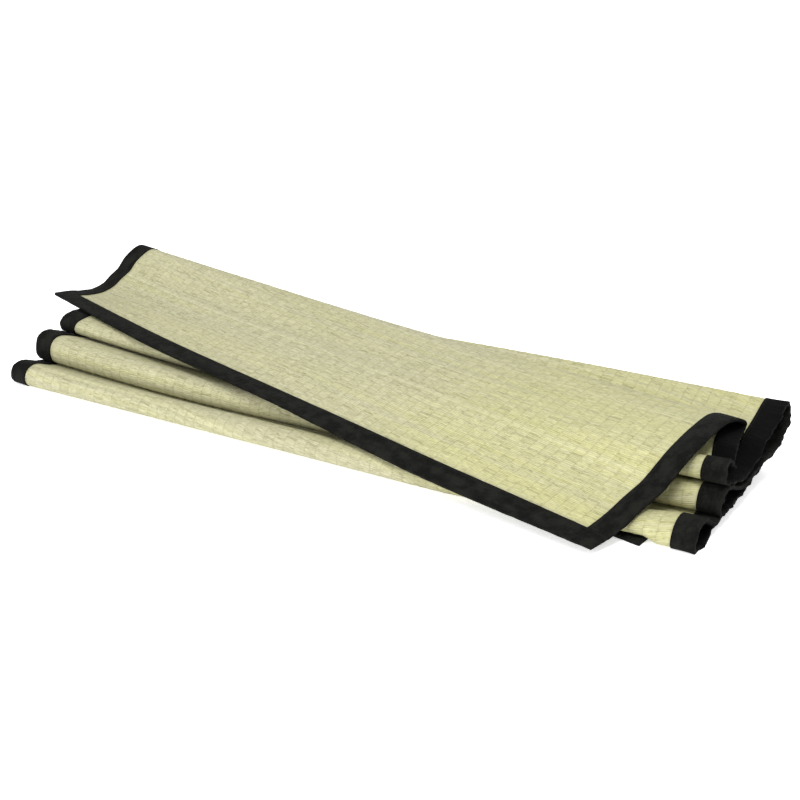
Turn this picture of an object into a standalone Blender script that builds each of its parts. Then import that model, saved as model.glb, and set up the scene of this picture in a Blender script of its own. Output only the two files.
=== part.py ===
"""A rush floor mat with black cotton binding, folded back and forth in eight layers, as it lies."""

import math
from collections import namedtuple

import bmesh
import bpy
import numpy as np

MM = 0.001

# The flat mat, in millimetres: x runs along the rushes and y to the back of the folded stack.
RUSH_LENGTH = 900.0
SHEET_THICKNESS = 2.0
TAPE_WIDTH = 24.0
TAPE_WALL = 0.7
PIECE_GAP = 0.3

# The middle of the sheet inside the tape rides this high, so the tape lies flat on the floor.
TAPE_HALF = SHEET_THICKNESS / 2 + PIECE_GAP + TAPE_WALL
FLOOR_MIDDLE = TAPE_HALF
SETTLE = TAPE_HALF - SHEET_THICKNESS / 2

# The folded stack's own zero lies under its left front; the part's origin is the middle of its box.
ORIGIN_X = 420.05
ORIGIN_Y = 120.85

# How finely the solids follow the folds.
FLAP_STEPS = 34
LAYER_STEPS = 15
HEM_STEPS = 3
SPLINE_STEPS = 14

# No fold turns tighter than this radius of the sheet's middle.
TIGHTEST_TURN = 2.6
RUSH_SHARES = (0.08, 0.17, 0.28, 0.39, 0.5, 0.61, 0.72, 0.83, 0.91, 0.945, 0.957)

# The top flap at five stations along the rushes, each column a (y, z) that the sheet's middle passes:
# free hem, the hem's inner edge, the step up over the loops below, the slope behind it, the crest, the
# back fold's nose and underside, and two places on the layer under the flap, the second the lower.
FlapSection = namedtuple(
    "FlapSection", "share hem inner foot step rise brow shoulder ridge crest nose low under valley")
FLAP = (
    FlapSection(0.00, (145, 70.5), (168.5, 68), (187, 64.5), (206, 63), (225.5, 67.3), (236.7, 76),
                (247, 86), (256, 99.5), (277, 112), (297, 95), (281, 72), (200, 61), (150, 59.6)),
    FlapSection(0.25, (78, 57), (101.5, 58.5), (120, 61.5), (140, 66), (160, 70), (180, 74.5),
                (200, 81), (222, 90.5), (250, 98.5), (270, 87), (256, 73), (185, 60), (140, 56)),
    FlapSection(0.50, (33, 41), (56.5, 43), (68, 47), (80, 53), (92, 58.5), (112, 65),
                (138, 70.5), (176, 77), (226, 84), (243, 79), (232, 74), (165, 60), (125, 54)),
    FlapSection(0.75, (-13, 19), (9, 30), (30, 37.5), (50, 45.5), (66, 53.5), (84, 61.5),
                (112, 69.5), (158, 76), (198, 77.5), (213, 74), (202, 69.5), (145, 60), (115, 54)),
    FlapSection(1.00, (-56, 9), (-33, 12), (-10, 19), (19, 33), (35.5, 41.5), (46, 56),
                (60, 70), (100, 80.5), (150, 82.0), (189, 66), (178, 61.5), (122, 66), (101, 54)),
)
FLAP_LEFT_X = (-62.5, -59.5, -56.5, -53.5, -50.5, -47, -41, -36, -27, -24, -22, -10, -5)
FLAP_RIGHT_X = (819, 825.5, 833, 843, 850, 858, 865, 870, 873, 875, 876, 890, 896)

# A row for each fold under the flap. nose_y, low and high stand at even stations along the rushes, from
# the left end to the right; slide moves the fold along x. reach is how far the upper layer runs before
# the loop is round, at the left and right end, and the lower layer; belly is how high up the loop its
# nose sits, at either end; curl lifts its lower and its upper side at the left rim; swell lifts its upper
# side past the flap's right edge; ride is how far the bottom hem lifts its lower side.
Fold = namedtuple("Fold", "name back slide nose_y low high reach belly curl swell ride")
FOLDS = (
    Fold("loop C", False, 0, (90, 88, 83.5, 76, 65.5), (44.9, 31.8, 33.5, 41.0, 47.2),
         (60.0, 51.5, 50.2, 56.5, 68.5), (15, 14, 8), (0.50, 0.43), (0, 4.0), 0, 0),
    Fold("back fold 2", True, 0, (263, 257, 252), (40.0, 44.0, 45.0),
         (57.0, 66.6, 73.0, 76.3, 76.5), (8, 8, 14), (0.50, 0.50), (0, 0), 0, 0),
    Fold("loop B", False, 0, (45.5, 44.3, 46.5, 52.3, 61.7), (19.5, 11.4, 11.5, 12.8, 16.8),
         (49.5, 37.8, 33.5, 36.5, 41.0), (16, 13, 6), (0.55, 0.30), (0, 2.0), 0, 0),
    Fold("back fold 3", True, -14, (264, 250, 238), (16.0, 16.0), (26.0, 26.0),
         (14, 14, 12), (0.50, 0.50), (0, 0), 0, 0),
    Fold("loop A", False, 0, (0, -3.4, -4.8, -6.3, -0.5), (2.0, 2.0, 1.8, 1.8, 2.0),
         (24.3, 21.5, 21.0, 21.5, 24.0), (17, 25, 4), (0.50, 0.25), (1.5, 0), 3.6, 5.1),
    Fold("back fold 4", True, -25, (292, 264, 235), (2.0, 2.0), (10.4, 10.4),
         (13, 13, 12), (0.50, 0.50), (0, 0), 0, 0),
)
SWELL_FROM, SWELL_FULL = 0.935, 0.968
RIDE_FROM, RIDE_FULL = 0.70, 0.83
RIDE_ENDS, RIDE_OVER = 0.944, 0.9565

# What each layer passes on its way from one fold to the next: (y, z) at even stations from the left end
# to the right.
LAYERS = {
    "loop C": (((128, 43.5), (126, 37.0), (125, 35.5), (123, 36.0), (121, 36.5)), ((160, 44), (154, 41)),
               ((190, 46), (177, 53.5)), ((222, 50), (206, 64))),
    "back fold 2": (((214, 33), (214, 34)), ((165, 31), (180, 33)),
                    ((118, 33.5), (112, 23.8), (112, 23.0), (117, 24.5), (122, 26))),
    "loop B": (((150, 18.8), (150, 18.8)),),
    "back fold 3": (((150, 12.6), (150, 12.6)),
                    ((66, 11.8), (68, 8.6), (70, 8.3), (72, 9.3), (74, 11.4)),
                    ((44, 16), (46, 8.5), (47.5, 8.5), (49, 9.6), (50, 12.6))),
    "loop A": (((60, 3.9), (27, 7.3)), ((90, 5.1), (56, 6.1)), ((185, 6.7), (140, 6.1))),
    "back fold 4": (((220, 2.0), (150, 2.0)),),
}
BOTTOM_HEM_SLIDE = -52
BOTTOM_HEM_Y = (185, -10)

RUSH_COLOUR = (0.60, 0.57, 0.36, 1)
TAPE_COLOUR = (0.018, 0.018, 0.018, 1)


def clear_scene():
    for old in list(bpy.data.objects):
        bpy.data.objects.remove(old, do_unlink=True)


def material(name, colour, roughness):
    made = bpy.data.materials.new(name)
    made.use_nodes = True
    shader = made.node_tree.nodes["Principled BSDF"]
    shader.inputs["Base Color"].default_value = colour
    shader.inputs["Roughness"].default_value = roughness
    shader.inputs["Metallic"].default_value = 0.0
    return made


def stations(rows, share):
    """A smooth curve through evenly spaced rows, read at a share of the rushes' length."""
    rows = [np.array(row, float) for row in rows]
    place = share * (len(rows) - 1)
    first = min(int(place), len(rows) - 2)
    t = place - first
    before = rows[first - 1] if first > 0 else 2 * rows[0] - rows[1]
    after = rows[first + 2] if first + 2 < len(rows) else 2 * rows[-1] - rows[-2]
    a, b = rows[first], rows[first + 1]
    return 0.5 * (2 * a + (b - before) * t + (2 * before - 5 * a + 4 * b - after) * t ** 2
                  + (3 * a - before - 3 * b + after) * t ** 3)


def flap_points(share):
    """The flap's control points from its free hem to the layer under it."""
    sections = stations([row[1:] for row in FLAP], share)
    x = stations((FLAP_LEFT_X, FLAP_RIGHT_X), share)
    return [(x[k], y, z) for k, (y, z) in enumerate(sections)]


def off_the_hem(share):
    """From 0 to 1 where the right tape hangs down past the end of the layer beneath."""
    return np.clip((share - RIDE_ENDS) / (RIDE_OVER - RIDE_ENDS), 0, 1)


def fold_points(fold, share):
    """Five control points round a fold, from its upper layer over the nose to its lower one."""
    at_rim = max(0.0, 1 - share * RUSH_LENGTH / TAPE_WIDTH)
    on_hem = np.clip((share - RIDE_FROM) / (RIDE_FULL - RIDE_FROM), 0, 1) - off_the_hem(share)
    nose = stations(fold.nose_y, share)
    swollen = np.clip((share - SWELL_FROM) / (SWELL_FULL - SWELL_FROM), 0, 1)
    low = stations(fold.low, share) + fold.curl[0] * at_rim + fold.ride * on_hem
    high = stations(fold.high, share) + fold.curl[1] * at_rim + fold.swell * swollen
    belly = low + (high - low) * stations(fold.belly, share)
    upper_reach = stations(fold.reach[:2], share)
    away = -1 if fold.back else 1
    points = []
    for angle in (90, 45, 0, -45, -90):
        turn = math.radians(angle)
        half = high - belly if angle > 0 else belly - low
        reach = min(upper_reach if angle > 0 else fold.reach[2], half ** 2 / TIGHTEST_TURN)
        points.append((fold.slide + share * RUSH_LENGTH, nose + away * reach * (1 - math.cos(turn)),
                       belly + half * math.sin(turn)))
    return points


def profile_points(share):
    """Every control point of the folded sheet at one share of its rushes, and which are anchors."""
    points = flap_points(share)
    anchors = [0, FlapSection._fields.index("nose") - 1]
    slides = [fold.slide for fold in FOLDS[1:]] + [BOTTOM_HEM_SLIDE]
    for fold, next_slide in zip(FOLDS, slides):
        anchors.append(len(points) + 2)
        points += fold_points(fold, share)
        passed = LAYERS[fold.name]
        for number, ends in enumerate(passed, start=1):
            way = number / (len(passed) + 1)
            eased = 1 - (1 - way) ** 2 if fold.back else way ** 2
            slide = fold.slide + (next_slide - fold.slide) * eased
            y, z = stations(ends, share)
            if number == 1:
                z -= fold.ride * off_the_hem(share)
            points.append((slide + share * RUSH_LENGTH, y, z))
    points.append((BOTTOM_HEM_SLIDE + share * RUSH_LENGTH, stations(BOTTOM_HEM_Y, share), FLOOR_MIDDLE))
    anchors.append(len(points) - 1)
    return np.array(points), anchors


def spline(points):
    """A centripetal Catmull-Rom curve through the points, as a dense polyline with its own spans."""
    ends = np.vstack([2 * points[0] - points[1], points, 2 * points[-1] - points[-2]])
    spans = []
    for k in range(1, len(ends) - 2):
        p = ends[k - 1:k + 3]
        knots = np.concatenate([[0], np.cumsum(np.linalg.norm(np.diff(p, axis=0), axis=1) ** 0.5)])
        t = np.linspace(knots[1], knots[2], SPLINE_STEPS + 1)[:, None]

        def mix(a, b, i, j):
            return ((knots[j] - t) * a + (t - knots[i]) * b) / (knots[j] - knots[i])

        a1, a2, a3 = mix(p[0], p[1], 0, 1), mix(p[1], p[2], 1, 2), mix(p[2], p[3], 2, 3)
        spans.append(mix(mix(a1, a2, 0, 2), mix(a2, a3, 1, 3), 1, 2))
    return spans


def read_at(line, distances):
    """Points along a polyline at the given distances from its start."""
    length = np.concatenate([[0], np.cumsum(np.linalg.norm(np.diff(line, axis=0), axis=1))])
    return np.column_stack([np.interp(distances, length, line[:, axis]) for axis in range(3)])


def length_of(line):
    return np.linalg.norm(np.diff(line, axis=0), axis=1).sum()


def bunched(count):
    """Shares from 0 to 1 that lie closer together towards both ends, where the folds are round."""
    t = np.linspace(0, 1, count + 1)
    return t - 0.6 * np.sin(2 * math.pi * t) / (2 * math.pi)


def hem_distances():
    return np.append(np.linspace(0, TAPE_WIDTH, HEM_STEPS + 1), TAPE_WIDTH + 2 * PIECE_GAP)


def rush_line(share):
    """The sheet's middle across the folds at one share of the rushes: its rows and their arc lengths."""
    points, anchors = profile_points(share)
    spans = spline(points)
    rows = []
    for number, (first, last) in enumerate(zip(anchors[:-1], anchors[1:])):
        line = np.vstack([spans[first]] + [span[1:] for span in spans[first + 1:last]])
        full = length_of(line)
        hem = hem_distances()
        if number == 0:
            closing = np.linspace(0, 1, FLAP_STEPS + 1)[1:]
            closing += 0.5 * np.sin(math.pi * closing) / math.pi
            distances = np.concatenate([hem, hem[-1] + closing * (full - hem[-1])])
        elif number == len(anchors) - 2:
            ahead = bunched(LAYER_STEPS) * (full - hem[-1])
            distances = np.concatenate([ahead[:-1], full - hem[::-1]])
        else:
            distances = bunched(LAYER_STEPS) * full
        rows.append(read_at(line, distances)[0 if number == 0 else 1:])
    return np.vstack(rows)


def settle(rows, share):
    """Lets the bottom layer down onto the floor between the tapes that edge it."""
    inner = TAPE_WIDTH / RUSH_LENGTH
    side = np.clip((min(share, 1 - share) - inner) / (RUSH_SHARES[0] - inner), 0, 1)
    hem_rows = HEM_STEPS + 2
    bottom = len(rows) - hem_rows - LAYER_STEPS
    for row in range(bottom, len(rows)):
        from_fold = np.clip((row - bottom - 3) / 3, 0, 1)
        from_hem = np.clip((len(rows) - hem_rows - row) / 2, 0, 1)
        if rows[row, 2] < FLOOR_MIDDLE + 0.2:
            rows[row, 2] = FLOOR_MIDDLE - SETTLE * side * min(from_fold, from_hem)
    rows[:, 2] = np.maximum(rows[:, 2], FLOOR_MIDDLE - SETTLE * side)
    return rows


def sheet_grid(shares):
    """The middle surface, indexed [place along the rushes][row across the folds]."""
    return np.array([settle(rush_line(share), share) for share in shares])


def across(grid):
    """Unit normals of the middle surface, upwards on the top flap."""
    along = np.gradient(grid, axis=0, edge_order=1)
    down = np.gradient(grid, axis=1, edge_order=1)
    normal = np.cross(along, down)
    return normal / np.linalg.norm(normal, axis=2, keepdims=True)


def strip(columns, turned=()):
    """Vertices and triangles of an open surface through equally long columns of points; the quads
    after each column listed in turned are split along their other diagonal."""
    count = len(columns[0])
    vertices = [tuple(point) for column in columns for point in column]
    faces = []
    for c in range(len(columns) - 1):
        for r in range(count - 1):
            a, b = c * count + r, (c + 1) * count + r
            if c in turned:
                faces += [(a, b, a + 1), (b, b + 1, a + 1)]
            else:
                faces += [(a, b, b + 1), (a, b + 1, a + 1)]
    return vertices, faces


def rim_quads(faces, count):
    """Quads that join the open edges of a surface to those of its partner, count vertices further on."""
    sides = [(face[k], face[(k + 1) % len(face)]) for face in faces for k in range(len(face))]
    known = set(sides)
    return [(b, a, a + count, b + count) for a, b in sides if (b, a) not in known]


def solid(name, outer, inner, faces, finish, collection):
    """A closed solid between two matching surfaces, in millimetres."""
    count = len(outer)
    moved = [((x - ORIGIN_X) * MM, (y - ORIGIN_Y) * MM, z * MM) for x, y, z in list(outer) + list(inner)]
    partner = [tuple(corner + count for corner in reversed(face)) for face in faces]
    mesh = bpy.data.meshes.new(name)
    mesh.from_pydata(moved, [], faces + partner + rim_quads(faces, count))
    shell = bmesh.new()
    shell.from_mesh(mesh)
    bmesh.ops.recalc_face_normals(shell, faces=shell.faces)
    shell.to_mesh(mesh)
    shell.free()
    mesh.materials.append(finish)
    mesh.shade_smooth()
    collection.objects.link(bpy.data.objects.new(name, mesh))


def rush_sheet(grid, normal, finish, collection):
    half = SHEET_THICKNESS / 2
    outer, faces = strip(list(grid + normal * half))
    inner = strip(list(grid - normal * half))[0]
    solid("rush_sheet", outer, inner, faces, finish, collection)


def side_face(inner, edge, inner_normal, edge_normal, turned, away, reach):
    """One face of a folded-over side tape, away from the sheet's middle and reach beyond its rim."""
    outward = edge - inner
    outward /= np.linalg.norm(outward, axis=1, keepdims=True)
    rim = edge + outward * reach
    columns = [inner + inner_normal * away, rim + edge_normal * away,
               rim - edge_normal * away, inner - inner_normal * away]
    kept = slice(HEM_STEPS + 1, -(HEM_STEPS + 1))
    return strip([column[kept] for column in columns], turned)


def side_tape(name, edges, finish, collection):
    """A tape folded over one end of the rushes, all the way down the folds between the hem tapes."""
    outer, faces = side_face(*edges, TAPE_HALF, PIECE_GAP + TAPE_WALL)
    inner = side_face(*edges, TAPE_HALF - TAPE_WALL, PIECE_GAP)[0]
    solid(name, outer, inner, faces, finish, collection)


def hem_face(grid, normal, reversed_rows, away, reach):
    """One face of a tape folded over the hem in row 0, closed at both corners."""
    grid, normal = grid[:, :HEM_STEPS + 1].copy(), normal[:, :HEM_STEPS + 1]
    for end, beside in ((0, 1), (-1, -2)):
        outward = grid[end] - grid[beside]
        grid[end] += outward / np.linalg.norm(outward, axis=1, keepdims=True) * reach
    outward = grid[:, 0] - grid[:, 1]
    grid[:, 0] += outward / np.linalg.norm(outward, axis=1, keepdims=True) * reach
    top, bottom = grid + normal * away, grid - normal * away
    rows = [top[:, k] for k in range(HEM_STEPS, -1, -1)] + [bottom[:, k] for k in range(HEM_STEPS + 1)]
    turned = range(HEM_STEPS + 1, len(rows)) if reversed_rows else range(HEM_STEPS)
    vertices, faces = strip(rows, turned)
    count = len(grid)
    last = len(rows) - 1
    for k in range(HEM_STEPS):
        corners = k * count, (k + 1) * count, (last - k - 1) * count, (last - k) * count
        faces.append(tuple(reversed(corners)))
        faces.append(tuple(corner + count - 1 for corner in corners))
    return vertices, faces


def hem_tape(name, grid, normal, reversed_rows, finish, collection):
    """A tape folded over one hem; row 0 of the grid is the hem."""
    outer, faces = hem_face(grid, normal, reversed_rows, TAPE_HALF, PIECE_GAP + TAPE_WALL)
    inner = hem_face(grid, normal, reversed_rows, TAPE_HALF - TAPE_WALL, PIECE_GAP)[0]
    solid(name, outer, inner, faces, finish, collection)


def build():
    clear_scene()
    collection = bpy.data.collections.new("rush_floor_mat")
    bpy.context.scene.collection.children.link(collection)
    rush = material("rush", RUSH_COLOUR, 0.62)
    tape = material("binding_tape", TAPE_COLOUR, 0.85)

    inner = TAPE_WIDTH / RUSH_LENGTH
    shares = (0.0, inner) + RUSH_SHARES + (1 - inner, 1.0)
    grid = sheet_grid(shares)
    normal = across(grid)

    rush_sheet(grid, normal, rush, collection)
    left = grid[1], grid[0], normal[1], normal[0], (0,)
    right = grid[-2], grid[-1], normal[-2], normal[-1], (2,)
    side_tape("side_tape_left", left, tape, collection)
    side_tape("side_tape_right", right, tape, collection)
    hem_tape("hem_tape_top", grid, normal, False, tape, collection)
    hem_tape("hem_tape_bottom", grid[:, ::-1], normal[:, ::-1], True, tape, collection)


build()
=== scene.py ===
import math
from collections import namedtuple

import bmesh
import bpy
import numpy as np
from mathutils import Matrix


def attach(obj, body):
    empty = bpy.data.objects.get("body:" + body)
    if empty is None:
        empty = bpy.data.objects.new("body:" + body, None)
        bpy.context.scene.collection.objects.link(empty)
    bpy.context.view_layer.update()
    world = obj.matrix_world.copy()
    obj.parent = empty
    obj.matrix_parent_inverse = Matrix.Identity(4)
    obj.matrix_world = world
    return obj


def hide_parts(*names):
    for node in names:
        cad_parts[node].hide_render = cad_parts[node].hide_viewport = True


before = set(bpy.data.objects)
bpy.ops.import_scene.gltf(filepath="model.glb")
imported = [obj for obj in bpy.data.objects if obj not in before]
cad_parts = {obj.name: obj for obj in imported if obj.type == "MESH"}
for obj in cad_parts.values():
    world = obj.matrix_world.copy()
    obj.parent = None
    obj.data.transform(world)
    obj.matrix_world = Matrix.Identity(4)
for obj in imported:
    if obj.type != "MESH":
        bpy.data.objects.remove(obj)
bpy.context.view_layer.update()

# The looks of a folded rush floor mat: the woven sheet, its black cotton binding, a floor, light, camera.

MM = 0.001

# The mat in millimetres, as in the solids: x along the rushes, y to the back of the folded stack.
RUSH_LENGTH = 900.0
SHEET_THICKNESS = 2.0
TAPE_WIDTH = 24.0
TAPE_WALL = 0.7
PIECE_GAP = 0.3
HALF_SHEET = SHEET_THICKNESS / 2
TAPE_HALF = HALF_SHEET + PIECE_GAP + TAPE_WALL
FLOOR_MIDDLE = TAPE_HALF
SETTLE = TAPE_HALF - HALF_SHEET

# The folded stack's own zero lies under its left front; the part's origin is the middle of its box.
ORIGIN_X = 420.05
ORIGIN_Y = 120.85

# The weave: warp threads stand this far apart, and the rushes show between them in every other column.
# RUSH_WAVER is how far a rush strays from straight, and WARP_WAVER a warp thread, as a share of a column.
WARP_PITCH = 14.15
FIRST_WARP = 12.0
LEAST_COLUMN = 2.0
RUSH_PITCH = 2.1
RUSH_WAVER = 6.0
WARP_WAVER = 0.16

# Rushes rise between the warps, by FLOAT_RISE at most and MEAN_RISE of it on average, in bands about
# BAND_STEP wide. At the warps the sheet is UNDER_RUSHES thinner on each face than its solid.
FLOAT_RISE = 0.45
MEAN_RISE = 0.45
UNDER_RUSHES = 0.1
BAND_STEP = 7.0
BAND_SEEDS = (5, 6)
ROUNDING = 1e-6

# The binding's puckers: their length, how deep they are at the stitched edge and at each rim, and the
# deepest dent. Each is a long wave with a short one on it, and both run at a slant across the tape.
PUCKER = 7.0
SOFT_CREASE = 0.18
LEFT_PUCKER = 0.7
RIGHT_PUCKER = 2.0
HEM_PUCKER = 0.25
DEEPEST_DENT = 0.5
LONG_SHARE, LONG_SLANT = 0.55, 0.35
SHORT_SHARE, SHORT_SLANT = 0.45, 0.20
UNDER_SEED = 7

# A side tape's rim stands out by this share of its puckers' depth, more or less by the ragged wave, of
# which the wide part is WIDE_RIM puckers long.
RIM_OUT = 0.4
RAGGED = 1.4
WIDE_RIM = 1.5
WIDE_RIM_SHARE = 0.7
RIM_SEED = 3

# A hem tape's corners: where its puckers begin, how far apart they run on from row to row there, and
# how open the corners stay.
CORNER_LEAD = 1.0
CORNER_STEP = 0.2
CORNER_OPEN = 0.04

# Millimetres along the folds: the top flap ends, the tape's upper face is folded in, and its under face
# is out again. On the flap the tape has only FLAT_SHARE of its puckers.
FLAP_LENGTH = 260.0
# A side tape's upper face from FOLDED_IN_FROM on and its under face until OUT_AGAIN_FROM are painted black
# as shade.
FOLDED_IN_FROM = 330.0
OUT_AGAIN_FROM = 380.0
FLAT_SHARE = 0.2

# Fineness of the sheet and of the tapes, and how much closer together the rows are at the folds.
FLAP_STEPS = 84
LAYER_STEPS = 33
SPLINE_STEPS = 14
HEM_STEPS = 6
RIM_STEPS = 4
TAPE_FINER = 2
BUNCHED = 0.6
CLOSING = 0.5
SPARE_HEIGHTS = 4

# No fold turns tighter than this radius of the sheet's middle.
TIGHTEST_TURN = 2.6

# The top flap at five stations along the rushes, each column a (y, z) that the sheet's middle passes:
# free hem, the hem's inner edge, the step up over the loops below, the slope behind it, the crest, the
# back fold's nose and underside, and two places on the layer under the flap, the second the lower.
FlapSection = namedtuple(
    "FlapSection", "share hem inner foot step rise brow shoulder ridge crest nose low under valley")
FLAP = (
    FlapSection(0.00, (145, 70.5), (168.5, 68), (187, 64.5), (206, 63), (225.5, 67.3), (236.7, 76),
                (247, 86), (256, 99.5), (277, 112), (297, 95), (281, 72), (200, 61), (150, 59.6)),
    FlapSection(0.25, (78, 57), (101.5, 58.5), (120, 61.5), (140, 66), (160, 70), (180, 74.5),
                (200, 81), (222, 90.5), (250, 98.5), (270, 87), (256, 73), (185, 60), (140, 56)),
    FlapSection(0.50, (33, 41), (56.5, 43), (68, 47), (80, 53), (92, 58.5), (112, 65),
                (138, 70.5), (176, 77), (226, 84), (243, 79), (232, 74), (165, 60), (125, 54)),
    FlapSection(0.75, (-13, 19), (9, 30), (30, 37.5), (50, 45.5), (66, 53.5), (84, 61.5),
                (112, 69.5), (158, 76), (198, 77.5), (213, 74), (202, 69.5), (145, 60), (115, 54)),
    FlapSection(1.00, (-56, 9), (-33, 12), (-10, 19), (19, 33), (35.5, 41.5), (46, 56),
                (60, 70), (100, 80.5), (150, 82.0), (189, 66), (178, 61.5), (122, 66), (101, 54)),
)

# The x of each of those columns after share, at the left and at the right end.
FLAP_LEFT_X = (-62.5, -59.5, -56.5, -53.5, -50.5, -47, -41, -36, -27, -24, -22, -10, -5)
FLAP_RIGHT_X = (819, 825.5, 833, 843, 850, 858, 865, 870, 873, 875, 876, 890, 896)

# A row for each fold under the flap. nose_y, low and high stand at even stations along the rushes, from
# the left end to the right; slide moves the fold along x. reach is how far the upper layer runs before
# the loop is round, at the left and right end, and the lower layer; belly is how high up the loop its
# nose sits, at either end; curl lifts its lower and its upper side at the left rim; swell lifts its upper
# side past the flap's right edge; ride is how far the bottom hem lifts its lower side.
Fold = namedtuple("Fold", "name back slide nose_y low high reach belly curl swell ride")
FOLDS = (
    Fold("loop C", False, 0, (90, 88, 83.5, 76, 65.5), (44.9, 31.8, 33.5, 41.0, 47.2),
         (60.0, 51.5, 50.2, 56.5, 68.5), (15, 14, 8), (0.50, 0.43), (0, 4.0), 0, 0),
    Fold("back fold 2", True, 0, (263, 257, 252), (40.0, 44.0, 45.0),
         (57.0, 66.6, 73.0, 76.3, 76.5), (8, 8, 14), (0.50, 0.50), (0, 0), 0, 0),
    Fold("loop B", False, 0, (45.5, 44.3, 46.5, 52.3, 61.7), (19.5, 11.4, 11.5, 12.8, 16.8),
         (49.5, 37.8, 33.5, 36.5, 41.0), (16, 13, 6), (0.55, 0.30), (0, 2.0), 0, 0),
    Fold("back fold 3", True, -14, (264, 250, 238), (16.0, 16.0), (26.0, 26.0),
         (14, 14, 12), (0.50, 0.50), (0, 0), 0, 0),
    Fold("loop A", False, 0, (0, -3.4, -4.8, -6.3, -0.5), (2.0, 2.0, 1.8, 1.8, 2.0),
         (24.3, 21.5, 21.0, 21.5, 24.0), (17, 25, 4), (0.50, 0.25), (1.5, 0), 3.6, 5.1),
    Fold("back fold 4", True, -25, (292, 264, 235), (2.0, 2.0), (10.4, 10.4),
         (13, 13, 12), (0.50, 0.50), (0, 0), 0, 0),
)

# Shares of the rushes' length over which folds swell, come to ride on the bottom hem, and leave it.
SWELL_FROM, SWELL_FULL = 0.935, 0.968
RIDE_FROM, RIDE_FULL = 0.70, 0.83
RIDE_ENDS, RIDE_OVER = 0.944, 0.9565

# What each layer passes on its way from one fold to the next: (y, z) at even stations from the left end
# to the right.
LAYERS = {
    "loop C": (((128, 43.5), (126, 37.0), (125, 35.5), (123, 36.0), (121, 36.5)), ((160, 44), (154, 41)),
               ((190, 46), (177, 53.5)), ((222, 50), (206, 64))),
    "back fold 2": (((214, 33), (214, 34)), ((165, 31), (180, 33)),
                    ((118, 33.5), (112, 23.8), (112, 23.0), (117, 24.5), (122, 26))),
    "loop B": (((150, 18.8), (150, 18.8)),),
    "back fold 3": (((150, 12.6), (150, 12.6)),
                    ((66, 11.8), (68, 8.6), (70, 8.3), (72, 9.3), (74, 11.4)),
                    ((44, 16), (46, 8.5), (47.5, 8.5), (49, 9.6), (50, 12.6))),
    "loop A": (((60, 3.9), (27, 7.3)), ((90, 5.1), (56, 6.1)), ((185, 6.7), (140, 6.1))),
    "back fold 4": (((220, 2.0), (150, 2.0)),),
}
BOTTOM_HEM_SLIDE = -52
BOTTOM_HEM_Y = (185, -10)

# The bottom layer comes down to the floor this far in from the rims, and eases down over these lengths
# after the last fold and before the bottom hem.
FLOOR_SIDE = 72.0
AFTER_FOLD, FOLD_EASE = 26, 56
HEM_EASE = 15
NEAR_FLOOR = 0.2

# The kinds of face of a piece, and their places in its strip of the square picture of its materials.
OUTER, INNER, FIRST_RIM, LAST_RIM, FIRST_CAP, LAST_CAP = range(6)
FACE_SHARE, OUTER_AT, INNER_AT = 0.45, 0.02, 0.53
RIM_SHARE, FIRST_RIM_AT, LAST_RIM_AT = 0.015, 0.475, 0.505
ROWS_SHARE, ROWS_AT = 0.975, 0.012
CAP_SHARE, FIRST_CAP_AT, LAST_CAP_AT = 0.006, 0.002, 0.992
SIDE_STRIPS = 5
HEM_STRIPS = 3

RUSH_GREY = (0.336, 0.322, 0.212, 1)
RUSH_YELLOW = (0.394, 0.381, 0.178, 1)
RUSH_GREEN = (0.288, 0.298, 0.152, 1)
RUSH_PALE = (0.485, 0.470, 0.305, 1)
RUSH_BRIGHT = (0.520, 0.500, 0.240, 1)
# RUSH_SHADE colours the rushes' dark streaks and dashes, and the painted shade in their gaps and warp
# grooves.
RUSH_SHADE = (0.108, 0.106, 0.036, 1)

# Bands of one colour across the rushes, and how many times longer they are along them. The mat turns
# yellower between these two places along the rushes.
BAND_WIDTH = 3.6
WIDE_BAND = 3 * BAND_WIDTH
STRETCH = 60.0
YELLOWED = (520.0, 720.0)

# The cotton: its threads, the length of its pattern round a folded tape, and its stitches, which lie
# STITCH_IN from each of its two inner edges.
TAPE_BLACK = (0.0020, 0.0020, 0.0019, 1)
TAPE_WORN = (0.0110, 0.0110, 0.0094, 1)
THREAD_PITCH = 0.6
TAPE_ROUND = 60.0
STITCH_IN = 2.3
STITCH_LENGTH = 3.5

# The studio, in metres: a white floor that glows a little, an even sky, and square lamps by name, place,
# side and watts, which face the mat.
FLOOR_HALF = 20.0
FLOOR_DROP = 0.0002
FLOOR_COLOUR = (0.95, 0.95, 0.95, 1)
FLOOR_GLOW = 0.5
SKY_STRENGTH = 1.02
LAMPS = (
    ("key", (1.08, -0.90, 2.65), 0.6, 46.0),
    ("fill", (-0.6, -3.0, 1.1), 2.0, 54.0),
)

# The camera that took the photo: its picture in pixels, its place in metres and its turns in degrees.
PHOTO_SIDE = 800
FOCAL_PIXELS = 1517.0
SENSOR = 36.0
CAMERA_AT = (0.94095, -1.36085, 0.632)
CAMERA_TILT = 69.80
CAMERA_TURN = 32.51
CAMERA_SEES = (0.05, 60)


def stations(rows, share):
    """A smooth curve through evenly spaced rows, read at a share of the rushes' length."""
    rows = [np.array(row, float) for row in rows]
    place = share * (len(rows) - 1)
    first = min(int(place), len(rows) - 2)
    t = place - first
    before = rows[first - 1] if first > 0 else 2 * rows[0] - rows[1]
    after = rows[first + 2] if first + 2 < len(rows) else 2 * rows[-1] - rows[-2]
    a, b = rows[first], rows[first + 1]
    return 0.5 * (2 * a + (b - before) * t + (2 * before - 5 * a + 4 * b - after) * t ** 2
                  + (3 * a - before - 3 * b + after) * t ** 3)


def flap_points(share):
    """The flap's control points from its free hem to the layer under it."""
    sections = stations([row[1:] for row in FLAP], share)
    x = stations((FLAP_LEFT_X, FLAP_RIGHT_X), share)
    return [(x[k], y, z) for k, (y, z) in enumerate(sections)]


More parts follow.
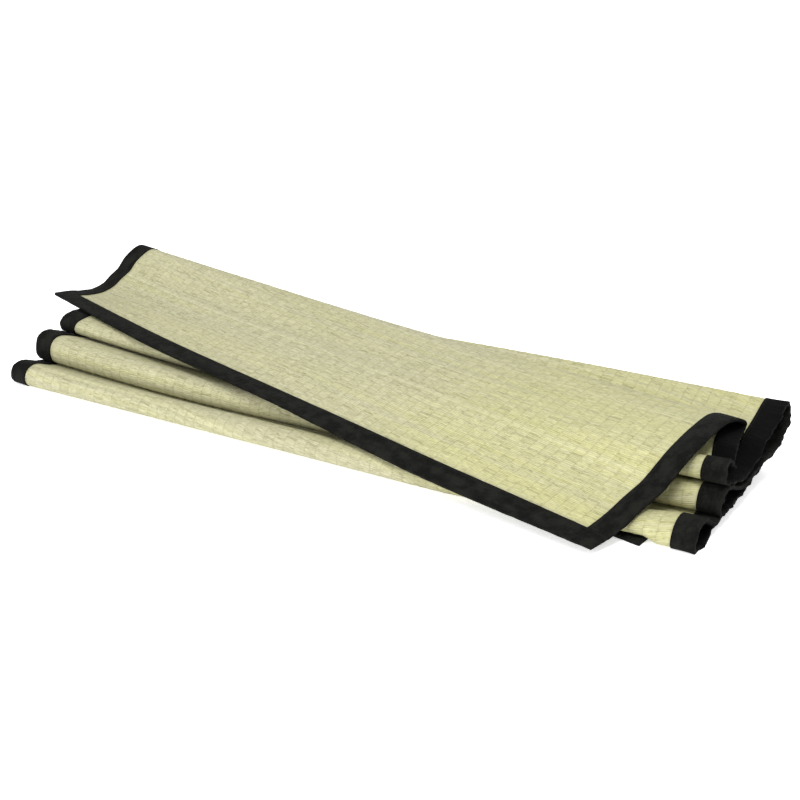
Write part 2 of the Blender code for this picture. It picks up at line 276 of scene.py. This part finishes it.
def off_the_hem(share):
    """From 0 to 1 where the right tape hangs down past the end of the layer beneath."""
    return np.clip((share - RIDE_ENDS) / (RIDE_OVER - RIDE_ENDS), 0, 1)


def fold_points(fold, share):
    """Five control points round a fold, from its upper layer over the nose to its lower one."""
    at_rim = max(0.0, 1 - share * RUSH_LENGTH / TAPE_WIDTH)
    on_hem = np.clip((share - RIDE_FROM) / (RIDE_FULL - RIDE_FROM), 0, 1) - off_the_hem(share)
    nose = stations(fold.nose_y, share)
    swollen = np.clip((share - SWELL_FROM) / (SWELL_FULL - SWELL_FROM), 0, 1)
    low = stations(fold.low, share) + fold.curl[0] * at_rim + fold.ride * on_hem
    high = stations(fold.high, share) + fold.curl[1] * at_rim + fold.swell * swollen
    belly = low + (high - low) * stations(fold.belly, share)
    upper_reach = stations(fold.reach[:2], share)
    away = -1 if fold.back else 1
    points = []
    for angle in (90, 45, 0, -45, -90):
        turn = math.radians(angle)
        half = high - belly if angle > 0 else belly - low
        reach = min(upper_reach if angle > 0 else fold.reach[2], half ** 2 / TIGHTEST_TURN)
        points.append((fold.slide + share * RUSH_LENGTH, nose + away * reach * (1 - math.cos(turn)),
                       belly + half * math.sin(turn)))
    return points


def profile_points(share):
    """Every control point of the folded sheet at one share of its rushes, and which are anchors."""
    points = flap_points(share)
    anchors = [0, FlapSection._fields.index("nose") - 1]
    slides = [fold.slide for fold in FOLDS[1:]] + [BOTTOM_HEM_SLIDE]
    for fold, next_slide in zip(FOLDS, slides):
        anchors.append(len(points) + 2)
        points += fold_points(fold, share)
        passed = LAYERS[fold.name]
        for number, ends in enumerate(passed, start=1):
            way = number / (len(passed) + 1)
            eased = 1 - (1 - way) ** 2 if fold.back else way ** 2
            slide = fold.slide + (next_slide - fold.slide) * eased
            y, z = stations(ends, share)
            if number == 1:
                z -= fold.ride * off_the_hem(share)
            points.append((slide + share * RUSH_LENGTH, y, z))
    points.append((BOTTOM_HEM_SLIDE + share * RUSH_LENGTH, stations(BOTTOM_HEM_Y, share), FLOOR_MIDDLE))
    anchors.append(len(points) - 1)
    return np.array(points), anchors


def spline(points):
    """A centripetal Catmull-Rom curve through the points, as a dense polyline with its own spans."""
    ends = np.vstack([2 * points[0] - points[1], points, 2 * points[-1] - points[-2]])
    spans = []
    for k in range(1, len(ends) - 2):
        p = ends[k - 1:k + 3]
        knots = np.concatenate([[0], np.cumsum(np.linalg.norm(np.diff(p, axis=0), axis=1) ** 0.5)])
        t = np.linspace(knots[1], knots[2], SPLINE_STEPS + 1)[:, None]

        def mix(a, b, i, j):
            return ((knots[j] - t) * a + (t - knots[i]) * b) / (knots[j] - knots[i])

        a1, a2, a3 = mix(p[0], p[1], 0, 1), mix(p[1], p[2], 1, 2), mix(p[2], p[3], 2, 3)
        spans.append(mix(mix(a1, a2, 0, 2), mix(a2, a3, 1, 3), 1, 2))
    return spans


def distances_along(line):
    return np.concatenate([[0], np.cumsum(np.linalg.norm(np.diff(line, axis=0), axis=1))])


def read_at(line, distances):
    length = distances_along(line)
    return np.column_stack([np.interp(distances, length, line[:, axis]) for axis in range(3)])


def bunched(count):
    """Shares from 0 to 1 that lie closer together towards both ends, where the folds are round."""
    t = np.linspace(0, 1, count + 1)
    return t - BUNCHED * np.sin(2 * math.pi * t) / (2 * math.pi)


def hem_distances():
    return np.append(np.linspace(0, TAPE_WIDTH, HEM_STEPS + 1), TAPE_WIDTH + 2 * PIECE_GAP)


def inside_tapes(share):
    """From 0 at a side tape to 1 where the bottom layer has come down to the floor."""
    return np.clip((min(share, 1 - share) * RUSH_LENGTH - TAPE_WIDTH) / (FLOOR_SIDE - TAPE_WIDTH), 0, 1)


def settled(rows, past_fold, before_hem, share):
    """Lets the bottom layer down onto the floor between the tapes that edge it."""
    low = rows[:, 2] < FLOOR_MIDDLE + NEAR_FLOOR
    from_fold = np.clip((past_fold - AFTER_FOLD) / FOLD_EASE, 0, 1)
    from_hem = np.clip((before_hem - TAPE_WIDTH) / HEM_EASE, 0, 1)
    drop = SETTLE * inside_tapes(share) * np.minimum(from_fold, from_hem)
    rows[:, 2] = np.where(low, FLOOR_MIDDLE - drop, rows[:, 2])
    return rows


def rush_line(share):
    """The sheet's middle across the folds at one share of the rushes."""
    points, anchors = profile_points(share)
    spans = spline(points)
    hem = hem_distances()
    rows = []
    for number, (first, last) in enumerate(zip(anchors[:-1], anchors[1:])):
        line = np.vstack([spans[first]] + [span[1:] for span in spans[first + 1:last]])
        full = distances_along(line)[-1]
        if number == 0:
            closing = np.linspace(0, 1, FLAP_STEPS + 1)[1:]
            closing += CLOSING * np.sin(math.pi * closing) / math.pi
            distances = np.concatenate([hem, hem[-1] + closing * (full - hem[-1])])
        elif number == len(anchors) - 2:
            ahead = bunched(LAYER_STEPS) * (full - hem[-1])
            distances = np.concatenate([ahead[:-1], full - hem[::-1]])
        else:
            distances = bunched(LAYER_STEPS) * full
        part = read_at(line, distances)
        if number == len(anchors) - 2:
            part = settled(part, distances, full - distances, share)
        rows.append(part if number == 0 else part[1:])
    rows = np.vstack(rows)
    rows[:, 2] = np.maximum(rows[:, 2], FLOOR_MIDDLE - SETTLE * inside_tapes(share))
    return rows


def across(grid):
    """Unit normals of the middle surface, upwards on the top flap."""
    along = np.gradient(grid, axis=0, edge_order=1)
    down = np.gradient(grid, axis=1, edge_order=1)
    normal = np.cross(along, down)
    return normal / np.linalg.norm(normal, axis=2, keepdims=True)


def wander(places, step, seed):
    """A smooth random curve from -1 to 1, read at the given places, with a new height every step."""
    heights = np.random.default_rng(seed).uniform(-1, 1, int(np.max(places) / step) + SPARE_HEIGHTS)
    at = np.asarray(places) / step
    first = np.floor(at).astype(int)
    t = at - first
    ease = t * t * (3 - 2 * t)
    return heights[first] * (1 - ease) + heights[first + 1] * ease


def on_the_floor(surface):
    """Keeps a face from dipping under the floor."""
    surface[:, :, 2] = np.maximum(surface[:, :, 2], 0)
    return surface


def outward_of(lines):
    """Unit directions out of an edge, from its last line but one to its last."""
    outward = lines[-1] - lines[-2]
    return outward / np.linalg.norm(outward, axis=1, keepdims=True)


def shell_faces(last_i, last_j):
    """The faces of a closed shell between two surfaces: each face's kind, its row j, and its four
    corners as (i, j, side)."""
    faces = []
    for i in range(last_i):
        for j in range(last_j):
            faces.append((OUTER, j, ((i, j, 0), (i + 1, j, 0), (i + 1, j + 1, 0), (i, j + 1, 0))))
            faces.append((INNER, j, ((i, j + 1, 1), (i + 1, j + 1, 1), (i + 1, j, 1), (i, j, 1))))
    for j in range(last_j):
        faces.append((FIRST_RIM, j, ((0, j, 0), (0, j + 1, 0), (0, j + 1, 1), (0, j, 1))))
        faces.append((LAST_RIM, j, ((last_i, j + 1, 0), (last_i, j, 0), (last_i, j, 1), (last_i, j + 1, 1))))
    for i in range(last_i):
        faces.append((FIRST_CAP, 0, ((i + 1, 0, 0), (i, 0, 0), (i, 0, 1), (i + 1, 0, 1))))
        faces.append((LAST_CAP, last_j - 1,
                      ((i, last_j, 0), (i + 1, last_j, 0), (i + 1, last_j, 1), (i, last_j, 1))))
    return faces


def strip_layout(kind, row, i_share, j_at, side, last_j, strips):
    """Places in a square picture: strips side by side, each with the outer face, a sliver for each rim
    and the inner face."""
    per = last_j / strips
    strip = np.minimum((row / per).astype(int), strips - 1)
    along = (j_at - np.floor(strip * per)) / (math.ceil(per) + 1)
    x = np.select([kind == OUTER, kind == INNER, kind == FIRST_RIM, kind == LAST_RIM],
                  [OUTER_AT + FACE_SHARE * i_share, INNER_AT + FACE_SHARE * i_share,
                   FIRST_RIM_AT + RIM_SHARE * side, LAST_RIM_AT + RIM_SHARE * side],
                  OUTER_AT + FACE_SHARE * i_share)
    y = np.select([kind == FIRST_CAP, kind == LAST_CAP],
                  [FIRST_CAP_AT + CAP_SHARE * side, LAST_CAP_AT + CAP_SHARE * side],
                  ROWS_AT + ROWS_SHARE * along)
    return np.stack([(strip + x) / strips, y], axis=1)


def piece(name, outer, inner, flat, strips, material, slot, node):
    """A closed piece between two matching surfaces of points [i][j], in the place of a solid. One UV map
    holds its flat measures in metres, the other a layout of both faces in that many strips."""
    rows = outer.shape[1]
    count = outer.shape[0] * rows
    last_i, last_j = outer.shape[0] - 1, rows - 1
    both = np.concatenate([outer.reshape(-1, 3), inner.reshape(-1, 3)])
    places = (both - (ORIGIN_X, ORIGIN_Y, 0)) * MM
    shell = shell_faces(last_i, last_j)
    faces = [[side * count + i * rows + j for i, j, side in corners] for _, _, corners in shell]

    mesh = bpy.data.meshes.new(name)
    mesh.from_pydata(places.tolist(), [], faces)
    kind = np.repeat([k for k, _, _ in shell], 4)
    row = np.repeat([j for _, j, _ in shell], 4)
    i_at, j_at, side = np.array([corner for _, _, corners in shell for corner in corners]).T
    measured = np.stack([flat[0][i_at, j_at], flat[1][i_at, j_at]], axis=1)
    layout = strip_layout(kind, row, i_at / last_i, j_at, side, last_j, strips)
    for map_name, values in (("flat", measured), ("OFBake", layout)):
        uv_map = mesh.uv_layers.new(name=map_name)
        uv_map.uv.foreach_set("vector", values.astype(np.float32).ravel())

    mesh.materials.append(material)
    mesh.shade_smooth()
    facing_out(mesh)
    made = bpy.data.objects.new(name, mesh)
    bpy.context.scene.collection.objects.link(made)
    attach(made, "root")
    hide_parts(node)
    return made


def facing_out(mesh):
    """Turns every face of a closed mesh outwards."""
    shell = bmesh.new()
    shell.from_mesh(mesh)
    bmesh.ops.recalc_face_normals(shell, faces=shell.faces)
    shell.to_mesh(mesh)
    shell.free()


class Field:
    """A value that differs from place to place on a surface: an output of one of its nodes."""

    def __init__(self, paint, socket):
        self.paint = paint
        self.socket = socket

    def __add__(self, other):
        return self.paint.maths("ADD", self, other)

    def __sub__(self, other):
        return self.paint.maths("SUBTRACT", self, other)

    def __rsub__(self, other):
        return self.paint.maths("SUBTRACT", other, self)

    def __mul__(self, other):
        return self.paint.maths("MULTIPLY", self, other)

    def __truediv__(self, other):
        return self.paint.maths("DIVIDE", self, other)

    def __pow__(self, other):
        return self.paint.maths("POWER", self, other)

    def __abs__(self):
        return self.paint.maths("ABSOLUTE", self)

    def sine(self):
        return self.paint.maths("SINE", self)

    def floor(self):
        return self.paint.maths("FLOOR", self)

    def eased(self, start, stop, low=0.0, high=1.0):
        """Goes smoothly from low at start to high at stop, and stays level outside them."""
        return self.paint.node("ShaderNodeMapRange", {0: self, 1: start, 2: stop, 3: low, 4: high},
                               interpolation_type="SMOOTHSTEP")


class Paint:
    """A material whose nodes are written as arithmetic. u and v are the flat measures in millimetres."""

    def __init__(self, name):
        self.material = bpy.data.materials.new(name)
        self.material.use_nodes = True
        self.tree = self.material.node_tree
        self.shader = self.tree.nodes["Principled BSDF"]
        flat = self.node("ShaderNodeUVMap", {}, uv_map="flat")
        self.u = self.node("ShaderNodeSeparateXYZ", {0: flat}, output=0) * (1 / MM)
        self.v = self.node("ShaderNodeSeparateXYZ", {0: flat}, output=1) * (1 / MM)

    def feed(self, socket, value):
        if isinstance(value, Field):
            self.tree.links.new(value.socket, socket)
        else:
            socket.default_value = value

    def node(self, kind, inputs, output=0, **settings):
        """An output of a new node with these settings and inputs."""
        made = self.tree.nodes.new(kind)
        for key, value in settings.items():
            setattr(made, key, value)
        for key, value in inputs.items():
            self.feed(made.inputs[key], value)
        return Field(self, made.outputs[output])

    def maths(self, operation, *values):
        return self.node("ShaderNodeMath", dict(enumerate(values)), operation=operation)

    def vector(self, *values):
        return self.node("ShaderNodeCombineXYZ", dict(enumerate(values)))

    def noise(self, x, y, layer=0.0, detail=2.0, rough=0.5):
        """Smooth noise around 0.5 that changes about once for each 1 of x or y, new in each layer."""
        return self.node("ShaderNodeTexNoise", {"Vector": self.vector(x, y, layer), "Scale": 1.0,
                                                "Detail": detail, "Roughness": rough}, output="Fac")

    def chance(self, x, y):
        """A random value for each whole number x and y."""
        return self.node("ShaderNodeTexWhiteNoise", {"Vector": self.vector(x, y)}, output="Value",
                         noise_dimensions="2D")

    def mixed(self, share, a, b):
        return self.node("ShaderNodeMix", {"Factor": share, "A": a, "B": b}, output="Result",
                         data_type="RGBA")

    def finish(self, colour, roughness, specular, height, strength):
        """The material, with a height in millimetres as its bump, of this strength."""
        bump = self.node("ShaderNodeBump", {"Strength": strength, "Distance": MM, "Height": height})
        self.feed(self.shader.inputs["Base Color"], colour)
        self.feed(self.shader.inputs["Roughness"], roughness)
        self.feed(self.shader.inputs["Specular IOR Level"], specular)
        self.feed(self.shader.inputs["Normal"], bump)
        return self.material


def rush_material():
    """Dried rushes over and under the warp threads, in bands of grey, green, pale and yellow."""
    paint = Paint("woven_rush")
    u, v = paint.u, paint.v

    # The rushes and the warp threads waver a little.
    v_bent = v + paint.noise(u * 0.011, v * 0.02) * RUSH_WAVER
    lean = paint.noise(u * 0.012, v * 0.02, layer=4.0)
    column = (u - FIRST_WARP) / WARP_PITCH + (lean - 0.5) * WARP_WAVER
    number = column.floor()
    inside = column - number
    parity = paint.maths("FLOORED_MODULO", number, 2.0)

    # Bands of rushes of one colour: narrow ones that show in every other column, wide ones in all.
    tone = paint.noise(u / (BAND_WIDTH * STRETCH), v_bent / BAND_WIDTH, layer=parity * 7.3 + 1.0,
                       detail=3.0, rough=0.7)
    hue = paint.noise(u / (WIDE_BAND * STRETCH), v_bent / WIDE_BAND, layer=30.0, detail=3.0, rough=0.6)
    field = paint.noise(u * 0.006, v * 0.011, layer=60.0, detail=3.0)
    yellowness = hue * 0.65 + u.eased(*YELLOWED, low=0.10, high=0.25)
    greenness = tone * 0.55 + field * 0.45
    colour = paint.mixed(yellowness.eased(0.30, 0.72), RUSH_GREY, RUSH_YELLOW)
    colour = paint.mixed(greenness.eased(0.44, 0.72, high=0.40), colour, RUSH_GREEN)
    colour = paint.mixed(tone.eased(0.50, 0.24, high=0.36), colour, RUSH_PALE)

    # Single rushes: their own tint, dark dashes where one dips, and a few pale ones that run on.
    place = v_bent / RUSH_PITCH + parity * 0.5
    rush = place.floor()
    within = place - rush
    tint = paint.chance(rush, parity * 37.0 + 3.0)
    dash = paint.chance(rush, number + 0.5)
    runner = paint.chance((v_bent / RUSH_PITCH).floor(), 91.0)
    colour = paint.mixed(tint ** 3.0 * 0.34, colour, RUSH_PALE)
    colour = paint.mixed(dash.eased(0.86, 1.0, high=0.30), colour, RUSH_SHADE)
    colour = paint.mixed(runner.eased(0.94, 0.97, high=0.35), colour, RUSH_PALE)

    # Fibres along each rush, and painted shade in the gaps between rushes and along the warp lines that they
    # dip under.
    streak = paint.noise(u * 0.14, v_bent * 0.62, layer=number * 1.7, detail=3.0, rough=0.7)
    bright = paint.mixed(yellowness.eased(0.42, 0.62), RUSH_PALE, RUSH_BRIGHT)
    colour = paint.mixed(streak.eased(0.50, 0.76, high=0.62), colour, RUSH_SHADE)
    colour = paint.mixed(streak.eased(0.48, 0.28, high=0.75), colour, bright)
    gap_depth = paint.chance(rush, parity * 5.0 + 23.0).eased(0.40, 1.0, low=0.05, high=0.80)
    gap_shade = abs(within - 0.5).eased(0.33, 0.5) * gap_depth
    uneven = paint.noise(number * 3.1, v_bent * 0.11, detail=3.0)
    warp = abs(inside - 0.5).eased(0.39, 0.5) * uneven.eased(0.30, 0.70, low=0.05, high=0.31)
    # Painted shade: darker in the gaps between rushes and along the warp grooves.
    colour = paint.mixed(paint.maths("MAXIMUM", gap_shade, warp), colour, RUSH_SHADE)

    # Round rushes, floats that rise between the warps, and random levels.
    bulge = (inside * math.pi).sine()
    height = (within * math.pi).sine() * 0.26 + bulge * tone * 0.55 + bulge ** 0.5 * 0.14
    height = height + tint * 0.14 + streak * 0.30
    return paint.finish(colour, streak.eased(0.3, 0.8, low=0.5, high=0.72), 0.25, height, 0.8)


def tape_material(name, folded):
    """Cotton tape, stitched near its inner edges and grey with wear; on a folded tape, the faces that it
    turns in between the layers lose their wear and are painted black as shade."""
    paint = Paint(name)
    u, v = paint.u, paint.v
    weave = (u * (2 * math.pi / THREAD_PITCH)).sine() * (v * (2 * math.pi / THREAD_PITCH)).sine()
    cloud = paint.noise(u * 0.07, v * 0.045, detail=4.0, rough=0.6)
    slub = paint.noise(u * 0.25, v * 1.3)
    lint = paint.noise(u * 1.3, v * 1.1, layer=5.0)
    crease = paint.noise(u * 0.10, v * 0.21, layer=9.0, detail=3.0, rough=0.55)

    wear_and_shade = cloud.eased(0.38, 0.62, high=0.75) + slub.eased(0.45, 0.80, high=0.35)
    wear_and_shade = wear_and_shade + lint.eased(0.56, 0.78, high=0.30) + (weave + 1.0) * 0.12
    # Painted shade: a folded tape's faces turned in between the layers are made black.
    if folded:
        below = paint.maths("GREATER_THAN", u, TAPE_ROUND / 2)
        upper_in_shade = (1.0 - below) * paint.maths("GREATER_THAN", v, FOLDED_IN_FROM)
        under_in_shade = below * paint.maths("LESS_THAN", v, OUT_AGAIN_FROM)
        wear_and_shade = wear_and_shade * (1.0 - (upper_in_shade + under_in_shade) * 0.95)

    from_edge = paint.maths("MINIMUM", u, TAPE_ROUND - u)
    thread_line = abs(from_edge - STITCH_IN).eased(0.6, 0.2)
    from_hole = abs(paint.maths("FRACT", v / STITCH_LENGTH) - 0.5)
    stitch = thread_line * from_hole.eased(0.36, 0.48, low=1.0, high=0.0)
    colour = paint.mixed(wear_and_shade, TAPE_BLACK, TAPE_WORN)
    colour = paint.mixed(thread_line * 0.7, colour, TAPE_BLACK)
    colour = paint.mixed(stitch * 0.8, colour, TAPE_WORN)

    paint.shader.inputs["Sheen Weight"].default_value = 0.004
    paint.shader.inputs["Sheen Roughness"].default_value = 0.5
    height = weave * 0.06 + crease * 3.2 + slub * 0.22 + lint * 0.12 - (thread_line - stitch) * 0.35
    return paint.finish(colour, cloud.eased(0.3, 0.7, low=0.80, high=0.94), 0.05, height, 0.75)


def arcs_of(grid):
    """How far along the folds each point of a surface lies."""
    steps = np.linalg.norm(np.diff(grid, axis=1), axis=2)
    return np.concatenate([np.zeros((len(grid), 1)), np.cumsum(steps, axis=1)], axis=1)


def folded_middle(places):
    """The sheet's middle surface at these places along the rushes, and its normals."""
    grid = np.array([rush_line(place / RUSH_LENGTH) for place in places])
    return grid, across(grid)


def sheet_places():
    """Places along the rushes, in millimetres: both rims, each warp, and halfway between two warps."""
    step = WARP_PITCH / 2
    middle = np.arange(FIRST_WARP - step, RUSH_LENGTH - LEAST_COLUMN, step)
    return np.concatenate([[0], middle, [RUSH_LENGTH]])


def sheet_relief(places, arcs):
    """How far the rushes rise between the warps, on the upper and the under face."""
    column = np.floor((places - FIRST_WARP) / WARP_PITCH + ROUNDING)
    inside = (places - FIRST_WARP) / WARP_PITCH - column
    bulge = np.sin(np.clip(inside, 0, 1) * math.pi)[:, None]
    odd = (column % 2 == 1)[:, None]
    first, second = (wander(arcs, BAND_STEP, seed) for seed in BAND_SEEDS)
    upper, under = (FLOAT_RISE * bulge * (MEAN_RISE + (1 - MEAN_RISE) * bands)
                    for bands in (np.where(odd, first, second), np.where(odd, second, first)))
    return upper[:, :, None], under[:, :, None]


def build_sheet(material):
    places = sheet_places()
    grid, normal = folded_middle(places)
    arcs = arcs_of(grid)
    in_side_tape = np.minimum(places, RUSH_LENGTH - places) < TAPE_WIDTH
    in_hem_tape = np.zeros(grid.shape[1], bool)
    in_hem_tape[:HEM_STEPS + 1] = in_hem_tape[-HEM_STEPS - 1:] = True
    bound = in_side_tape[:, None] | in_hem_tape[None, :]
    faces = []
    for side, relief in zip((1, -1), sheet_relief(places, arcs)):
        relief[bound] = 0
        faces.append(on_the_floor(grid + normal * side * (HALF_SHEET + relief - UNDER_RUSHES)))
    flat = np.repeat(places[:, None] * MM, grid.shape[1], axis=1), arcs * MM
    return piece("woven_sheet", *faces, flat, 1, material, "rush", "rush_sheet")


def rim_section():
    """Steps round a bound edge: how far from the inner edge, how far beyond the rim as a share of the
    tape's reach there, and the side, from the upper face to the under face."""
    flats = np.linspace(0, TAPE_WIDTH, HEM_STEPS + 1)
    turns = np.linspace(math.pi / 2, -math.pi / 2, 2 * RIM_STEPS + 1)[1:-1]
    section = [(d, 0.0, 1.0) for d in flats]
    section += [(TAPE_WIDTH, math.cos(t), math.sin(t)) for t in turns]
    section += [(d, 0.0, -1.0) for d in flats[::-1]]
    return section


def line_under(distance):
    """Which of the lines from a tape's inner edge to the rim lies at this distance."""
    return int(round(distance / TAPE_WIDTH * HEM_STEPS))


def round_tape(section):
    """Flat measures round a tape: from 0 at its upper inner edge to TAPE_ROUND at the lower one."""
    half = TAPE_ROUND / 2
    measures = []
    for distance, beyond, side in section:
        if beyond > 0:
            measures.append(half - (half - TAPE_WIDTH) * side)
        else:
            measures.append(distance if side > 0 else TAPE_ROUND - distance)
    return np.array(measures)


def crumple_of(section, along, seed, rim_depth):
    """Puckers of a tape's faces, soft at its stitched edge and deepest at the rim."""
    made = []
    for distance, _, side in section:
        face = seed if side > 0 else seed + UNDER_SEED
        wave = (LONG_SHARE * wander(along + LONG_SLANT * distance, PUCKER, face)
                + SHORT_SHARE * wander(along - SHORT_SLANT * distance + PUCKER, PUCKER / 2, face + 1))
        depth = SOFT_CREASE + rim_depth * (distance / TAPE_WIDTH) ** 3
        made.append(np.maximum(depth * wave, -DEEPEST_DENT))
    return np.array(made)


def rim_wave(along, seed, rim_depth):
    """How much further out than its fold a tape's rim reaches."""
    wave = (WIDE_RIM_SHARE * wander(along, WIDE_RIM * PUCKER, seed + RIM_SEED)
            + (1 - WIDE_RIM_SHARE) * wander(along, PUCKER / 2, seed + RIM_SEED + 1))
    return rim_depth * np.maximum(RIM_OUT + RAGGED * wave, 0)


def side_tape_surface(lines, normals, section, away, reach, crumple):
    """Points [section][along] of one face of a side tape. lines runs from the inner edge to the rim,
    and reach is how far that face stands beyond it."""
    outward = outward_of(lines)
    made = []
    for k, (distance, beyond, side) in enumerate(section):
        at = line_under(distance)
        made.append(lines[at] + outward * (reach * beyond)[:, None] + normals[at] * (away * side)
                    + normals[at] * (np.sign(side) * crumple[k])[:, None])
    return on_the_floor(np.array(made))


def finer(grid):
    """The same surface [i][j] with rows put in evenly between its own."""
    rows = grid.shape[1]
    places = np.linspace(0, rows - 1, TAPE_FINER * (rows - 1) + 1)
    first = np.minimum(places.astype(int), rows - 2)
    share = (places - first).reshape((1, -1) + (1,) * (grid.ndim - 2))
    return grid[:, first] * (1 - share) + grid[:, first + 1] * share


def build_side_tape(name, places, seed, rim_depth, material, node):
    """A tape over one end of the rushes, from hem tape to hem tape. It lies almost flat along the top
    flap, and puckers where it follows the tight folds."""
    grid, normal = folded_middle(places)
    if places[0] > places[-1]:
        normal = -normal
    kept = slice(HEM_STEPS, -HEM_STEPS)
    lines, normals, along = (finer(part[:, kept]) for part in (grid, normal, arcs_of(grid)))
    section = rim_section()
    depths = rim_depth * np.interp(along[-1], (FLAP_LENGTH, FOLDED_IN_FROM), (FLAT_SHARE, 1))
    crumple = crumple_of(section, along[-1], seed, depths)
    wave = rim_wave(along[-1], seed, depths)
    reach = PIECE_GAP + wave / 2
    outer = side_tape_surface(lines, normals, section, TAPE_HALF, PIECE_GAP + TAPE_WALL + wave, crumple)
    inner = side_tape_surface(lines, normals, section, TAPE_HALF - TAPE_WALL, reach, 0 * crumple)
    across_it = np.repeat(round_tape(section)[:, None], outer.shape[1], axis=1)
    down_it = np.array([along[line_under(distance)] for distance, _, _ in section])
    flat = across_it * MM, down_it * MM
    return piece(name, outer, inner, flat, SIDE_STRIPS, material, "binding_tape", node)


def hem_tape_surface(lines, normals, section, away, reach, crumple):
    """Points [section][along] of one face of a hem tape, closed round both corners."""
    outward = outward_of(lines)
    ends = [(end, outward_of((lines[:, beside], lines[:, end]))) for end, beside in ((0, 1), (-1, -2))]
    turns = np.linspace(0, math.pi / 2, RIM_STEPS + 1)[1:]
    made = []
    for k, (distance, beyond, side) in enumerate(section):
        at = line_under(distance)
        base = lines[at] + outward * (reach * beyond)
        row = base + normals[at] * (away * side + np.sign(side) * crumple[k])[:, None]
        start, stop = ([base[end] + past_end[at] * reach * math.sin(t)
                        + normals[at][end] * away * side * max(math.cos(t), CORNER_OPEN) for t in turns]
                       for end, past_end in ends)
        made.append(np.vstack([start[::-1], row, stop]))
    return on_the_floor(np.array(made))


def build_hem_tape(name, bottom, seed, material, node):
    """A tape over one hem, the full width of the mat."""
    places = sheet_places()
    grid, normal = folded_middle(places)
    rows = slice(-1, -HEM_STEPS - 2, -1) if bottom else slice(0, HEM_STEPS + 1)
    lines = grid[:, rows][:, ::-1].transpose(1, 0, 2)
    normals = normal[:, rows][:, ::-1].transpose(1, 0, 2)
    section = rim_section()
    lead = CORNER_STEP * np.arange(RIM_STEPS)
    places = places + CORNER_LEAD
    along = np.concatenate([lead, places, places[-1] + CORNER_STEP + lead])
    crumple = crumple_of(section, along, seed, HEM_PUCKER)[:, RIM_STEPS:-RIM_STEPS]
    outer = hem_tape_surface(lines, normals, section, TAPE_HALF, PIECE_GAP + TAPE_WALL, crumple)
    inner = hem_tape_surface(lines, normals, section, TAPE_HALF - TAPE_WALL, PIECE_GAP, 0 * crumple)
    across_it = np.repeat(round_tape(section)[:, None], outer.shape[1], axis=1)
    down_it = np.repeat(along[None, :], len(section), axis=0)
    flat = across_it * MM, down_it * MM
    return piece(name, outer, inner, flat, HEM_STRIPS, material, "binding_tape", node)


def build_mat():
    # The side tapes get painted shade on the faces they turn in between the layers; the hem tapes don't.
    side_cotton = tape_material("binding_cotton_side", True)
    hem_cotton = tape_material("binding_cotton_hem", False)
    from_inner = np.linspace(TAPE_WIDTH, 0, HEM_STEPS + 1)
    sheet = build_sheet(rush_material())
    tapes = [
        build_side_tape("binding_left", from_inner, 21, LEFT_PUCKER, side_cotton, "side_tape_left"),
        build_side_tape("binding_right", RUSH_LENGTH - from_inner, 41, RIGHT_PUCKER, side_cotton,
                        "side_tape_right"),
        build_hem_tape("binding_top_hem", False, 61, hem_cotton, "hem_tape_top"),
        build_hem_tape("binding_bottom_hem", True, 81, hem_cotton, "hem_tape_bottom"),
    ]


def build_floor():
    mesh = bpy.data.meshes.new("floor")
    corners = [(x * FLOOR_HALF, y * FLOOR_HALF, 0) for x, y in ((-1, -1), (1, -1), (1, 1), (-1, 1))]
    mesh.from_pydata(corners, [], [(0, 1, 2, 3)])
    floor = bpy.data.objects.new("floor", mesh)
    floor.location = (0, 0, -FLOOR_DROP)
    bpy.context.scene.collection.objects.link(floor)
    paint = bpy.data.materials.new("pale_floor")
    paint.use_nodes = True
    shader = paint.node_tree.nodes["Principled BSDF"]
    shader.inputs["Base Color"].default_value = FLOOR_COLOUR
    shader.inputs["Roughness"].default_value = 0.8
    shader.inputs["Emission Color"].default_value = (1, 1, 1, 1)
    shader.inputs["Emission Strength"].default_value = FLOOR_GLOW
    mesh.materials.append(paint)


def build_light():
    world = bpy.data.worlds.new("studio")
    world.use_nodes = True
    sky = world.node_tree.nodes["Background"]
    sky.inputs["Color"].default_value = (1, 1, 1, 1)
    sky.inputs["Strength"].default_value = SKY_STRENGTH
    bpy.context.scene.world = world
    for name, place, side, watts in LAMPS:
        light = bpy.data.lights.new(name, "AREA")
        light.shape = "SQUARE"
        light.size = side
        light.energy = watts
        lamp = bpy.data.objects.new(name, light)
        lamp.location = place
        lamp.rotation_euler = (-lamp.location).to_track_quat("-Z", "Y").to_euler()
        bpy.context.scene.collection.objects.link(lamp)


def build_camera():
    lens = bpy.data.cameras.new("camera")
    lens.sensor_width = SENSOR
    lens.lens = SENSOR * FOCAL_PIXELS / PHOTO_SIDE
    lens.clip_start, lens.clip_end = CAMERA_SEES
    camera = bpy.data.objects.new("camera", lens)
    camera.location = CAMERA_AT
    camera.rotation_euler = (math.radians(CAMERA_TILT), 0, math.radians(CAMERA_TURN))
    bpy.context.scene.collection.objects.link(camera)
    bpy.context.scene.camera = camera
    bpy.context.scene.view_settings.view_transform = "Standard"


build_floor()
build_light()
build_camera()
build_mat()
